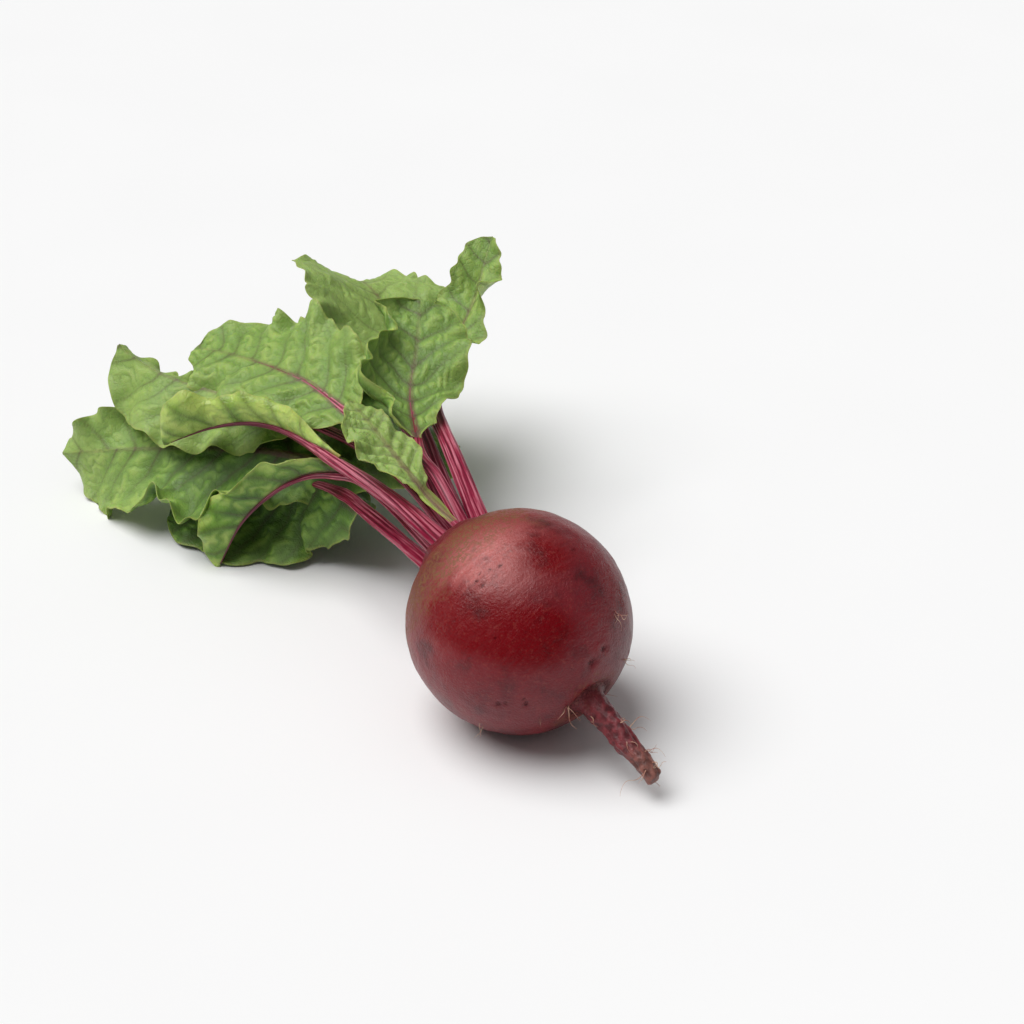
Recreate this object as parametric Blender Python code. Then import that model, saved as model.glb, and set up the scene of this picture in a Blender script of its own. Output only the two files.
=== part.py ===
"""One beetroot pulled with its top: a round root with its tail, and eleven leaves, each a stalk and a blade.

Metres, +Z up. The origin is the spot that the root rests on. +X runs along the root towards its
tail, so the leaves lie towards -X. A leaf's left and right are as seen from its stalk towards its
tip, with +Z up.
"""

import math

import bmesh
import bpy
import numpy as np
from mathutils import Matrix, Vector

MM = 0.001

# The root: a globe with a low crown at one end and a tail at the other, both on its axis.
GLOBE_RADIUS = 38 * MM
REST_CUT = 0.8 * MM  # how far the resting spot flattens the globe
CROWN_TILT = math.radians(22)  # how far the crown end is raised above level
CROWN_RADIUS = 15 * MM
CROWN_RISE = 4.5 * MM
TAIL_LENGTH = 34 * MM  # from the globe's surface to the tip
TAIL_NECK_RADIUS = 4.8 * MM
TAIL_TIP_RADIUS = 2.7 * MM
TAIL_FILLET = 5 * MM
TAIL_DROOP = 2 * MM
ROOT_SECTORS = 44

# What all stalks and blades share.
BLADE_THICKNESS = 0.6 * MM
CLEARANCE = 0.35 * MM  # the gap kept between two solids
STALK_ROOTING = 4 * MM  # how deep a stalk starts below the crown, before it is trimmed to it
STALK_SIDES = 8
STALK_STEP = 7 * MM
STALK_FLATNESS = 0.8  # a stalk's height over its width
MIDRIB_TIP_RADIUS = 0.5 * MM
MIDRIB_SHARE = 0.88  # how much of the blade's length the midrib runs along
BLADE_ROWS = 20
HALF_BLADE_COLUMNS = 5
BLADE_TIP_POWER = 0.5  # the blade's tip is round, like the end of an ellipse
WAVE_POWER = 1.6  # waves grow from nothing at the midrib to full height at the margin

ROOT_COLOUR = (0.16, 0.012, 0.022)
STALK_COLOUR = (0.42, 0.03, 0.10)
BLADE_COLOUR = (0.10, 0.22, 0.03)

# Each leaf, in millimetres and degrees:
#   seat      where its stalk leaves the crown: to the +Y side of the root's axis, and above it
#   route     the rest of the stalk's and then the midrib's centre line, to the leaf's tip
#   blade_at  the route point, counted from 0, where the blade starts
#   girth     half the stalk's width at the crown, and where the blade starts
#   width     the left and the right half blade's greatest width
#   widest    where along the blade that is, from 0 at its base to 1 at its tip
#   lift      each half's angle above level next to the midrib: at the blade's base, middle and tip
#   curl      how far each half bends upwards from midrib to margin, at the same places
#   waves     the height of the margin's waves, how many there are, and where they start
LEAVES = {
    "leaf_01": dict(  # the lowest, on the near side: both halves hang to the floor
        seat=(-5.5, -8),
        route=[(-92, 8, 37), (-112, 12, 35), (-135, 13, 30), (-150, 8, 22), (-165, -1, 14), (-177, -9, 9),
               (-189, -16, 6)],
        blade_at=1, girth=(3.0, 2.4), width=(28.5, 25), widest=(0.48, 0.4),
        lift=((-80, -50, -5), (-40, -20, 10)), curl=((-30, 0, 0), (-20, 0, 10)), waves=(1.5, 3, 0.0)),
    "leaf_02": dict(  # arches over the lowest, folded, its tip on the floor
        seat=(-1.5, -4.5),
        route=[(-72, 6, 49), (-97, 9, 48), (-109, 7, 46), (-120, 1, 43), (-130, -7, 35), (-141, -15, 20),
               (-149, -22, -1)],
        blade_at=2, girth=(2.4, 1.9), width=(14, 10), widest=(0.6, 0.6),
        lift=((70, 80, 90), (30, 40, 40)), curl=((0, 0, 0), (0, 0, 0)), waves=(1.5, 3, 0.3)),
    "leaf_03": dict(  # on the thickest stalk, folded, with its near half rolled over the top
        seat=(-2.5, 3),
        route=[(-68, 0, 57), (-107, 2, 57), (-134, 3, 56), (-150, -2, 55), (-163, -10, 51), (-172, -18, 46),
               (-178, -23, 42)],
        blade_at=1, girth=(4.2, 2.9), width=(14, 12), widest=(0.7, 0.6),
        lift=((60, 70, 70), (-30, -15, -10)), curl=((90, 90, 70), (0, 0, 0)), waves=(1.5, 3, 0.1)),
    "leaf_04": dict(  # the longest, its tip on the floor
        seat=(1, -10),
        route=[(-80, 16, 37), (-108, 22, 36), (-132, 18, 37), (-153, 9, 37), (-172, 0, 34), (-195, -10, 29),
               (-222, -22, 22), (-242, -32, 16)],
        blade_at=2, girth=(2.8, 2.2), width=(29, 16), widest=(0.6, 0.65),
        lift=((-65, -45, -110), (10, 20, 60)), curl=((10, 80, 0), (10, 10, 0)), waves=(2.5, 4, 0.2)),
    "leaf_05": dict(  # both halves hang from its midrib, its tip turned up
        seat=(7, -9),
        route=[(-80, 22, 46), (-120, 26, 48), (-158, 21, 48), (-192, 7, 50), (-210, -1, 53), (-226, -3, 55),
               (-235, -5, 59)],
        blade_at=2, girth=(2.8, 2.0), width=(26, 16), widest=(0.5, 0.5),
        lift=((-30, -37, -70), (-30, -40, -30)), curl=((0, 0, 0), (0, 0, 0)), waves=(2, 3, 0.5)),
    "leaf_06": dict(  # broad and blistered, the highest on the near side
        seat=(4.5, -2),
        route=[(-72, 12, 57), (-108, 20, 62), (-122, 21, 64), (-142, 22, 66), (-158, 21, 66), (-178, 22, 63),
               (-200, 22, 59), (-219, 21, 55)],
        blade_at=2, girth=(2.6, 2.0), width=(18, 28), widest=(0.5, 0.45),
        lift=((-20, -15, -20), (40, 28, 20)), curl=((-20, -60, -30), (0, 0, 10)), waves=(2, 4, 0.0)),
    "leaf_07": dict(  # the small young one
        seat=(1, 9.5),
        route=[(-50, 3.5, 62), (-57, 3, 66), (-74, 5, 72), (-86, 6, 77), (-100, 8, 80)],
        blade_at=1, girth=(1.5, 1.1), width=(12, 10), widest=(0.5, 0.5),
        lift=((10, 0, 0), (10, 0, 0)), curl=((0, 0, 0), (0, 0, 0)), waves=(1, 3, 0.0)),
    "leaf_08": dict(  # stands up in the middle, its left margin rolled inwards
        seat=(4.5, 5),
        route=[(-57, 13, 64), (-72, 18, 65), (-86, 27, 65), (-106, 41, 69), (-118, 54, 78), (-128, 64, 85),
               (-134, 70, 90)],
        blade_at=2, girth=(2.4, 1.9), width=(23, 20), widest=(0.45, 0.65),
        lift=((20, 10, 10), (10, 0, 0)), curl=((60, 120, 60), (0, 0, 0)), waves=(2, 3, 0.0)),
    "leaf_09": dict(  # large, on the far side, folded over backwards near its tip
        seat=(10.5, -4),
        route=[(-69, 28, 48), (-101, 45, 50), (-140, 66, 53), (-160, 78, 60), (-178, 85, 69), (-192, 88, 72),
               (-205, 92, 67), (-213, 94, 57)],
        blade_at=2, girth=(2.6, 2.2), width=(36, 27), widest=(0.4, 0.5),
        lift=((10, 25, 36), (0, -8, 0)), curl=((0, 0, 0), (0, 0, 0)), waves=(2, 3, 0.0)),
    "leaf_10": dict(  # on the farthest side, upright at its tip
        seat=(11.5, 4),
        route=[(-72, 33, 60), (-105, 52, 60), (-124, 70, 61), (-138, 90, 64), (-147, 108, 72), (-155, 121, 83),
               (-159, 129, 92)],
        blade_at=2, girth=(3.6, 2.4), width=(13, 12), widest=(0.6, 0.6),
        lift=((20, 20, 20), (20, 20, 20)), curl=((10, 10, 10), (10, 10, 10)), waves=(2, 3, 0.0)),
    "leaf_11": dict(  # low under the far side, both halves hanging
        seat=(12.5, -9.5),
        route=[(-76, 31, 37), (-106, 45, 39), (-132, 55, 44), (-158, 62, 50), (-182, 67, 51), (-202, 70, 44)],
        blade_at=1, girth=(2.1, 1.8), width=(25, 25), widest=(0.5, 0.5),
        lift=((-10, -20, -20), (-20, -20, -20)), curl=((0, -30, -20), (0, -20, -20)), waves=(2, 3, 0.25)),
}


def root_matrix():
    """Places the root, modelled with its crown up +Z and the globe's centre at 0, as it lies."""
    turn = Matrix.Rotation(CROWN_TILT - math.pi / 2, 4, "Y")
    return Matrix.Translation((0, 0, GLOBE_RADIUS - REST_CUT)) @ turn


def arc(centre, radius, start, end, steps):
    """Points (distance from the axis, height) on an arc, its angles counted from straight up."""
    angles = np.radians(np.linspace(start, end, steps + 1))
    return [(centre[0] + radius * math.sin(a), centre[1] + radius * math.cos(a)) for a in angles]


def root_outline(grow=0.0):
    """The root's half section from the crown's middle to the tail's tip, grown by a clearance."""
    globe = GLOBE_RADIUS + grow
    crown_edge = math.degrees(math.asin(CROWN_RADIUS / GLOBE_RADIUS))
    crown_top = GLOBE_RADIUS * math.cos(math.radians(crown_edge)) + CROWN_RISE + grow
    neck = TAIL_NECK_RADIUS + grow
    # The fillet's arc touches the globe and the tail's neck.
    fillet_out = neck + TAIL_FILLET
    fillet_down = math.sqrt((globe + TAIL_FILLET) ** 2 - fillet_out ** 2)
    tail_edge = 180 - math.degrees(math.asin(fillet_out / (globe + TAIL_FILLET)))
    tip = -(GLOBE_RADIUS + TAIL_LENGTH + grow)
    tip_radius = TAIL_TIP_RADIUS + grow
    outline = [(0.0, crown_top), (0.55 * CROWN_RADIUS, crown_top - 0.1 * CROWN_RISE)]
    outline.append((0.9 * CROWN_RADIUS + grow, crown_top - 0.45 * CROWN_RISE))
    outline += arc((0, 0), globe, crown_edge + 2, tail_edge, 22)
    outline += arc((fillet_out, -fillet_down), TAIL_FILLET, tail_edge - 180, -90, 4)[1:]
    taper_end = tip + tip_radius
    for share in (0.25, 0.5, 0.75):
        radius = neck + (tip_radius - neck) * share
        outline.append((radius, -fillet_down + (taper_end + fillet_down) * share))
    outline += arc((0, taper_end), tip_radius, 90, 180, 3)
    return outline


def turned(name, outline, sectors):
    """A body of revolution about Z from its half section, both ends of which are on the axis."""
    shape = bmesh.new()
    points = [shape.verts.new((max(r, 0.0), 0, z)) for r, z in outline]
    edges = [shape.edges.new(pair) for pair in zip(points, points[1:])]
    bmesh.ops.spin(
        shape, geom=points + edges, cent=(0, 0, 0), axis=(0, 0, 1), angle=math.tau, steps=sectors, use_merge=True
    )
    bmesh.ops.remove_doubles(shape, verts=shape.verts, dist=1e-6)
    bmesh.ops.recalc_face_normals(shape, faces=shape.faces)
    mesh = bpy.data.meshes.new(name)
    shape.to_mesh(mesh)
    shape.free()
    return bpy.data.objects.new(name, mesh)


def crown_point(side, above, height):
    """A point seen from the root's axis: to its +Y side, above it, and at a height up the axis."""
    return root_matrix() @ Vector((above, side, height))


def make_root():
    root = turned("beet_root", root_outline(), ROOT_SECTORS)
    root.matrix_world = root_matrix()
    shape = bmesh.new()
    shape.from_mesh(root.data)
    for vertex in shape.verts:
        beyond = max(0.0, -vertex.co.z - GLOBE_RADIUS) / TAIL_LENGTH
        vertex.co.x -= TAIL_DROOP * beyond ** 2
    to_local = root_matrix().inverted()
    bmesh.ops.bisect_plane(
        shape,
        geom=shape.verts[:] + shape.edges[:] + shape.faces[:],
        plane_co=to_local @ Vector((0, 0, 0)),
        plane_no=to_local.to_3x3() @ Vector((0, 0, -1)),
        clear_outer=True,
    )
    rim = [edge for edge in shape.edges if edge.is_boundary]
    bmesh.ops.contextual_create(shape, geom=rim)
    bmesh.ops.recalc_face_normals(shape, faces=shape.faces)
    shape.to_mesh(root.data)
    shape.free()
    return root


def parabola(values, share):
    """A value that changes smoothly through the three given at shares 0, 1/2 and 1."""
    base, middle, tip = values
    return base * (1 - share) * (1 - 2 * share) + middle * 4 * share * (1 - share) + tip * share * (2 * share - 1)


class Leaf:
    """A leaf's centre line and its shape across that line, from a row of LEAVES."""

    def __init__(self, seat, route, blade_at, girth, width, widest, lift, curl, waves):
        start = crown_point(seat[0] * MM, seat[1] * MM, GLOBE_RADIUS - STALK_ROOTING)
        corners = np.array([start, *(Vector(point) * MM for point in route)])
        self.line, marks = self.curve_through(corners)
        self.along = np.concatenate([[0], np.cumsum(np.linalg.norm(np.diff(self.line, axis=0), axis=1))])
        self.length = self.along[-1]
        self.blade_start = self.along[marks[blade_at + 1]]
        self.blade_length = self.length - self.blade_start
        self.girth = np.array(girth) * MM
        self.width = np.array(width) * MM
        self.widest = widest
        self.lift = np.radians(lift)
        self.curl = np.radians(curl)
        self.waves = waves
        self.seat = start

    @staticmethod
    def curve_through(corners, steps=24):
        """A Catmull-Rom curve through the corners, and the index of each corner on it."""
        ends = np.vstack([2 * corners[0] - corners[1], corners, 2 * corners[-1] - corners[-2]])
        t = (np.arange(steps) / steps)[:, None]
        spans = []
        for a, b, c, d in zip(ends, ends[1:], ends[2:], ends[3:]):
            cubic = 3 * b - a - 3 * c + d
            spans.append(b + 0.5 * ((c - a) * t + (2 * a - 5 * b + 4 * c - d) * t ** 2 + cubic * t ** 3))
        line = np.vstack([*spans, corners[-1:]])
        return line, np.arange(len(corners)) * steps

    def frame(self, along):
        """Centre, left and up at each length along the leaf."""
        def read(values):
            return np.stack([np.interp(along, self.along, v) for v in values.T], axis=1)

        centre = read(self.line)
        ahead = read(np.gradient(self.line, self.along, axis=0))
        ahead /= np.linalg.norm(ahead, axis=1, keepdims=True)
        left = np.cross((0, 0, 1), ahead)
        left /= np.linalg.norm(left, axis=1, keepdims=True)
        return centre, left, np.cross(ahead, left)

    def share(self, along):
        """How far along the blade a length is, from 0 at its base to 1 at its tip."""
        return np.clip((along - self.blade_start) / self.blade_length, 0, 1)

    def radius(self, along):
        """Half the stalk's width: it tapers to the blade, then as the midrib to a thin tip."""
        stalk = np.interp(along, (0, self.blade_start), self.girth)
        midrib = np.clip(self.share(along) / MIDRIB_SHARE, 0, 1)
        return stalk + (MIDRIB_TIP_RADIUS - stalk) * midrib ** 0.8

    def lifts(self, along):
        """The left and the right half blade's angle above level, next to the midrib."""
        return [parabola(angles, self.share(along)) for angles in self.lift]

    def tilted(self, along):
        """The frame turned so that up halves the angle between the two half blades."""
        centre, left, up = self.frame(along)
        left_lift, right_lift = self.lifts(along)
        tilt = (left_lift - right_lift) / 2 * np.clip(along / self.blade_start, 0, 1)
        cos, sin = np.cos(tilt)[:, None], np.sin(tilt)[:, None]
        return centre, cos * left + sin * up, cos * up - sin * left

    def make_stalk(self, name):
        """The stalk and midrib: a gutter-shaped section, lofted along the centre line."""
        end = self.blade_start + MIDRIB_SHARE * self.blade_length
        along = np.linspace(0, end, max(6, round(end / STALK_STEP)))
        centre, left, up = self.tilted(along)
        angles = np.arange(STALK_SIDES) * math.tau / STALK_SIDES
        gutter = 0.25 * np.maximum(np.sin(angles), 0) ** 3 * (1 - self.share(along))[:, None]
        across = np.cos(angles)[None, :, None] * left[:, None]
        height = (STALK_FLATNESS * np.sin(angles) - gutter)[:, :, None] * up[:, None]
        rings = centre[:, None] + self.radius(along)[:, None, None] * (across + height)
        count = len(along)
        faces = [
            (i * STALK_SIDES + j, i * STALK_SIDES + k, (i + 1) * STALK_SIDES + k, (i + 1) * STALK_SIDES + j)
            for i in range(count - 1)
            for j, k in ((j, (j + 1) % STALK_SIDES) for j in range(STALK_SIDES))
        ]
        faces += [tuple(range(STALK_SIDES))[::-1], tuple(range((count - 1) * STALK_SIDES, count * STALK_SIDES))]
        return self.placed(name, rings.reshape(-1, 3), faces)

    def half_width(self, share, side):
        """The half blade's width: narrow at the base, widest where stated, and round at the tip."""
        widest = self.widest[side]
        base_power = BLADE_TIP_POWER * widest / (1 - widest)
        return self.width[side] * (share / widest) ** base_power * ((1 - share) / (1 - widest)) ** BLADE_TIP_POWER

    def make_blade(self, name):
        """The blade: two half blades that leave the midrib at their lift, and curl and wave outwards."""
        share = np.linspace(0.02, 0.99, BLADE_ROWS + 1)
        along = self.blade_start + share * self.blade_length
        centre, left, up = self.frame(along)
        _, _, above = self.tilted(along)
        lifts = self.lifts(along)
        fold = np.minimum(0, (lifts[0] + lifts[1]) / 2)
        clear = (self.radius(along) + 1.5 * CLEARANCE + BLADE_THICKNESS / 2) / np.cos(fold)
        spine = centre + clear[:, None] * above
        columns = {0: spine}
        height, count, phase = self.waves
        for side, sign in ((0, 1), (1, -1)):
            curl = parabola(self.curl[side], share)
            width = self.half_width(share, side)
            point = spine
            for column in range(HALF_BLADE_COLUMNS):
                middle = (column + 0.5) / HALF_BLADE_COLUMNS
                angle = (lifts[side] + curl * middle ** 2)[:, None]
                outwards = np.cos(angle) * left * sign + np.sin(angle) * up
                point = point + outwards * (width / HALF_BLADE_COLUMNS)[:, None]
                edge = (column + 1) / HALF_BLADE_COLUMNS
                wave = np.sin(math.tau * (count * share + phase + 0.5 * side)) * edge ** WAVE_POWER
                wave *= height * MM * width / self.width[side]
                normal = np.cos(angle) * up - np.sin(angle) * left * sign
                columns[sign * (column + 1)] = point + wave[:, None] * normal
        grid = np.stack([columns[k] for k in sorted(columns)], axis=1)
        rows, across = grid.shape[:2]
        faces = [
            (i * across + j, i * across + j + 1, (i + 1) * across + j + 1, (i + 1) * across + j)
            for i in range(rows - 1)
            for j in range(across - 1)
        ]
        blade = self.placed(name, grid.reshape(-1, 3), faces)
        sheet = blade.modifiers.new("thickness", "SOLIDIFY")
        sheet.thickness = BLADE_THICKNESS
        sheet.offset = 0
        return blade

    def placed(self, name, points, faces):
        """An object with its origin where the leaf leaves the crown."""
        mesh = bpy.data.meshes.new(name)
        mesh.from_pydata([Vector(p) - self.seat for p in points], [], faces)
        mesh.update()
        made = bpy.data.objects.new(name, mesh)
        made.location = self.seat
        return made


def material(name, colour, roughness):
    made = bpy.data.materials.new(name)
    made.use_nodes = True
    shader = made.node_tree.nodes["Principled BSDF"]
    shader.inputs["Base Color"].default_value = (*colour, 1)
    shader.inputs["Roughness"].default_value = roughness
    shader.inputs["Metallic"].default_value = 0
    return made


def show(made, surface):
    bpy.context.scene.collection.objects.link(made)
    made.data.materials.append(surface)
    made.data.shade_smooth()
    made.data.set_sharp_from_angle(angle=math.radians(40))


def main():
    for old in list(bpy.data.objects):
        bpy.data.objects.remove(old)
    skin = material("beet_skin", ROOT_COLOUR, 0.45)
    stalk_flesh = material("beet_stalk", STALK_COLOUR, 0.35)
    leaf_green = material("beet_leaf", BLADE_COLOUR, 0.5)

    root = make_root()
    show(root, skin)
    clearance = turned("crown_clearance", root_outline(grow=CLEARANCE), ROOT_SECTORS)
    clearance.matrix_world = root_matrix()
    show(clearance, skin)
    clearance.hide_render = True
    clearance.display_type = "WIRE"

    for name, row in LEAVES.items():
        leaf = Leaf(**row)
        stalk = leaf.make_stalk(name + "_stalk")
        show(stalk, stalk_flesh)
        trim = stalk.modifiers.new("trim_to_crown", "BOOLEAN")
        trim.operation = "DIFFERENCE"
        trim.object = clearance
        show(leaf.make_blade(name + "_blade"), leaf_green)


main()
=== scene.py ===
"""A beetroot pulled with its leafy top, lying on its side: root, crown, hair roots, stalks and blades."""

import math

import bpy
import numpy as np
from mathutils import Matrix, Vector


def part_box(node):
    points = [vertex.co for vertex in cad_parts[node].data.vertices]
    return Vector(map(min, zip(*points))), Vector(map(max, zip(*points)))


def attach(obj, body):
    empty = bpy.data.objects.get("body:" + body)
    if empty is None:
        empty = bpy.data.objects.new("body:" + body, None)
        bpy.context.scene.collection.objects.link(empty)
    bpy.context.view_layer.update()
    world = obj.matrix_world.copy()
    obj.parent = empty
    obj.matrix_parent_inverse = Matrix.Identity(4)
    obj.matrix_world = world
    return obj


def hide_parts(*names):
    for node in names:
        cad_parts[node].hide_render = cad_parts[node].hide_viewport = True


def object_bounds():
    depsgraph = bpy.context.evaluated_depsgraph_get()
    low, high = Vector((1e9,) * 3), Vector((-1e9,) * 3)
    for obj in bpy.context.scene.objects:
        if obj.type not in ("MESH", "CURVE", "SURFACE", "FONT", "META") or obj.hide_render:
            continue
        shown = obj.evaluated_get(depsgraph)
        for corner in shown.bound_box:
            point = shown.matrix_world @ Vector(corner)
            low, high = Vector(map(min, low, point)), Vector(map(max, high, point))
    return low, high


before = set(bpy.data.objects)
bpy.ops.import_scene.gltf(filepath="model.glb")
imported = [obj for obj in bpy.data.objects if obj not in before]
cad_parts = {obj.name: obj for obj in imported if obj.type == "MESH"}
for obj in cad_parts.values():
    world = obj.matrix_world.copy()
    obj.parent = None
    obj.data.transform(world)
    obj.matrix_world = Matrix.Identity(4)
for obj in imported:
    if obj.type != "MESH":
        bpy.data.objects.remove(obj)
cad_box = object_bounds()
MM = 0.001

# ---------------------------------------------------------------------------------------------
# Root. The swollen red root of a beet with its crown and its tail, one living piece. Its skin is
# thin, matt to satin and finely scratched by soil, corky at the shoulder and dented here and there.
# It grew in one piece, and lies on a small spot that its own weight has flattened.

root_low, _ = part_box("beet_root")
GLOBE = 38 * MM  # radius
REST_CUT = 0.8 * MM
CROWN_TILT = math.radians(22)
CROWN_RADIUS = 15 * MM
CROWN_RISE = 4.5 * MM
TAIL_LENGTH = 34 * MM
TAIL_NECK = 4.8 * MM
TAIL_TIP = 2.7 * MM
TAIL_FILLET = 2.2 * MM
TAIL_DROOP = 2 * MM
GROWTH_RING_STEP = 4.1 * MM
MOAT_RADIUS = 7.4 * MM  # of the hollow round the tail
MOAT_HALF_WIDTH = 2.0 * MM
MOAT_DEPTH = 1.4  # in millimetres
ROOT_RINGS = 262
ROOT_SIDES = 350

GLOBE_CENTRE = np.array((0, 0, root_low.z + GLOBE - REST_CUT))
CROWNWARD = np.array((-math.cos(CROWN_TILT), 0, math.sin(CROWN_TILT)))
ABOVE = np.array((math.sin(CROWN_TILT), 0, math.cos(CROWN_TILT)))
SIDEWAYS = np.array((0.0, 1.0, 0.0))


def smooth(value, low, high):
    """0 below low, 1 above high, and 3t^2 - 2t^3 between, where t is the share of the way."""
    t = np.clip((value - low) / (high - low), 0, 1)
    return t * t * (3 - 2 * t)


def ripple(points, size, seed, octaves=3):
    """Smooth noise of about -1 to 1: twelve cosines in random directions, whose wavelength is size.
    Each further octave has half the wavelength and half the height."""
    random = np.random.default_rng(seed)
    total = 0
    for octave in range(octaves):
        ways = random.normal(size=(12, 3))
        ways *= math.tau / (size * 0.5 ** octave) / np.linalg.norm(ways, axis=1, keepdims=True)
        phases = random.uniform(0, math.tau, 12)
        total = total + 0.5 ** octave * np.cos(points @ ways.T + phases).sum(axis=-1) / 3.5
    return total


def mesh_piece(name, points, quads, fans, values, surface):
    """A piece from its points, its four-cornered and three-cornered faces, and its named values,
    one number or one vector for each point."""
    mesh = bpy.data.meshes.new(name)
    corners = np.concatenate([np.ravel(quads), np.ravel(fans)]).astype(np.int32)
    starts = np.concatenate([np.arange(len(quads)) * 4, len(quads) * 4 + np.arange(len(fans)) * 3])
    mesh.vertices.add(len(points))
    mesh.vertices.foreach_set("co", np.asarray(points, np.float32).ravel())
    mesh.loops.add(len(corners))
    mesh.loops.foreach_set("vertex_index", corners)
    mesh.polygons.add(len(starts))
    mesh.polygons.foreach_set("loop_start", starts.astype(np.int32))
    mesh.update(calc_edges=True)
    for key, value in values.items():
        flat = value.ndim == 1
        attribute = mesh.attributes.new(key, "FLOAT" if flat else "FLOAT_VECTOR", "POINT")
        attribute.data.foreach_set("value" if flat else "vector", np.asarray(value, np.float32).ravel())
    mesh.shade_smooth()
    mesh.set_sharp_from_angle(angle=math.radians(65))
    mesh.materials.append(surface)
    piece = bpy.data.objects.new(name, mesh)
    bpy.context.scene.collection.objects.link(piece)
    return piece


def tube_faces(rings, sides):
    """The faces of a closed tube whose points are its rings in order, then its first end's middle
    and its last end's middle: four-cornered between rings, three-cornered round each end."""
    at = np.arange(rings * sides).reshape(rings, sides)
    after = np.roll(at, -1, axis=1)
    quads = np.stack([at[:-1], after[:-1], after[1:], at[1:]], axis=-1).reshape(-1, 4)
    first = np.stack([after[0], at[0], np.full(sides, rings * sides)], axis=-1)
    last = np.stack([at[-1], after[-1], np.full(sides, rings * sides + 1)], axis=-1)
    return quads, np.concatenate([first, last])


def linear(hex_colour):
    """An sRGB hex colour as the linear colour that a shader takes."""
    parts = np.array([int(hex_colour[i:i + 2], 16) for i in (1, 3, 5)]) / 255
    return (*np.where(parts <= 0.04045, parts / 12.92, ((parts + 0.055) / 1.055) ** 2.4), 1.0)


def new_material(name, **constants):
    """A material with only its Principled shader, and the constants set on its sockets."""
    made = bpy.data.materials.new(name)
    made.use_nodes = True
    shader = made.node_tree.nodes["Principled BSDF"]
    for socket, value in constants.items():
        shader.inputs[socket.replace("_", " ")].default_value = value
    return made, made.node_tree, shader


def add(tree, kind, settings=None, **links):
    """Adds one node. settings are its properties. links are its inputs by name with _ for a space,
    or by number as in0, in1 and so on: each a socket to join, or a value."""
    node = tree.nodes.new("ShaderNode" + kind)
    for key, value in (settings or {}).items():
        setattr(node, key, value)
    for key, value in links.items():
        number = key[2:] if key.startswith("in") and key[2:].isdigit() else None
        socket = node.inputs[int(number)] if number else node.inputs[key.replace("_", " ")]
        if isinstance(value, bpy.types.NodeSocket):
            tree.links.new(value, socket)
        else:
            socket.default_value = value
    return node


TIMES = {"operation": "MULTIPLY"}
TIMES_PLUS = {"operation": "MULTIPLY_ADD"}


def half_section(rows):
    """Distance from the axis and height towards the crown, from the tail's tip to the crown's
    middle, at equal steps: a blunt tip, a taper, a fillet, the globe's arc and the low crown."""
    fillet_out = TAIL_NECK + TAIL_FILLET
    fillet_down = math.sqrt((GLOBE + TAIL_FILLET) ** 2 - fillet_out ** 2)
    globe_from = math.asin(fillet_out / (GLOBE + TAIL_FILLET))
    globe_to = math.pi - math.asin(CROWN_RADIUS / GLOBE) - math.radians(3)
    tip = -(GLOBE + TAIL_LENGTH)
    round_tip = np.linspace(0, math.pi / 2, 12)
    fillet = np.linspace(math.pi / 2, globe_from, 16)
    globe = np.linspace(globe_from, globe_to, 160)
    crown_top = GLOBE * math.cos(math.asin(CROWN_RADIUS / GLOBE)) + CROWN_RISE
    line = np.vstack([
        np.stack([TAIL_TIP * np.sin(round_tip) ** 0.8,
                  tip + 0.5 * TAIL_TIP * (1 - np.cos(round_tip))], axis=1),
        np.stack([fillet_out - TAIL_FILLET * np.sin(fillet),
                  -fillet_down + TAIL_FILLET * np.cos(fillet)], axis=1),
        np.stack([GLOBE * np.sin(globe), -GLOBE * np.cos(globe)], axis=1),
        [(0.9 * CROWN_RADIUS, crown_top - 0.45 * CROWN_RISE),
         (0.55 * CROWN_RADIUS, crown_top - 0.1 * CROWN_RISE), (0, crown_top)],
    ])
    reach = np.concatenate([[0], np.cumsum(np.linalg.norm(np.diff(line, axis=0), axis=1))])
    steps = np.linspace(0, reach[-1], rows)
    return np.stack([np.interp(steps, reach, line[:, 0]), np.interp(steps, reach, line[:, 1])], axis=1)


def root_place(local):
    """Points given as above, sideways and towards the crown from the globe's centre, as they lie."""
    return GLOBE_CENTRE + local[..., :1] * ABOVE + local[..., 1:2] * SIDEWAYS + local[..., 2:] * CROWNWARD


def skin_way(from_crown, turn):
    """The direction, from the globe's centre, of a place given in degrees from the crown's middle and
    in degrees round the axis: sin a cos b, sin a sin b, cos a."""
    a, b = math.radians(from_crown), math.radians(turn)
    return np.array((math.sin(a) * math.cos(b), math.sin(a) * math.sin(b), math.cos(a)))


# Old scars and dents in the skin: degrees from the crown's middle, degrees round the axis from
# straight above, depth and half width in millimetres.
SKIN_MARKS = [(129, -87, 0.4, 1.5), (132, -84, 0.3, 1.2), (141, -79, 0.4, 1.5), (139, -75, 0.3, 1.0),
              (152, -8, 0.6, 2.0), (148, 9, 0.5, 1.6), (82, -40, 0.15, 1.5), (80, -36, 0.15, 1.3),
              (82, -31, 0.15, 1.2), (84, -26, 0.15, 1.3), (86, -39, 0.1, 1.2), (109, -52, 0.3, 0.8),
              (96, 12, 0.3, 0.9), (120, 95, 0.4, 1.0), (100, 150, 0.4, 1.2), (70, 120, 0.4, 1.0),
              (118, -140, 0.4, 1.0), (60, -100, 0.3, 1.0), (146, 70, 0.4, 1.0)]

# Where the skin shows the flesh's deep red, partly for want of dust and cork and partly as painted reflection
# of the dim room, the duller skin round it standing as painted reflection of the floor: degrees from the
# crown's middle, degrees round the axis from straight above, and the patch's half width in degrees.
SKIN_CLEAR_OF_DUST_AND_SHEEN = [(78, -64, 14), (92, -58, 14), (106, -50, 15), (118, -42, 15), (127, -27, 13), (93, -3, 12),
              (121, 38, 13), (70, 66, 12), (100, 105, 20), (120, 150, 18), (84, -140, 20), (66, -172, 16)]


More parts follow.
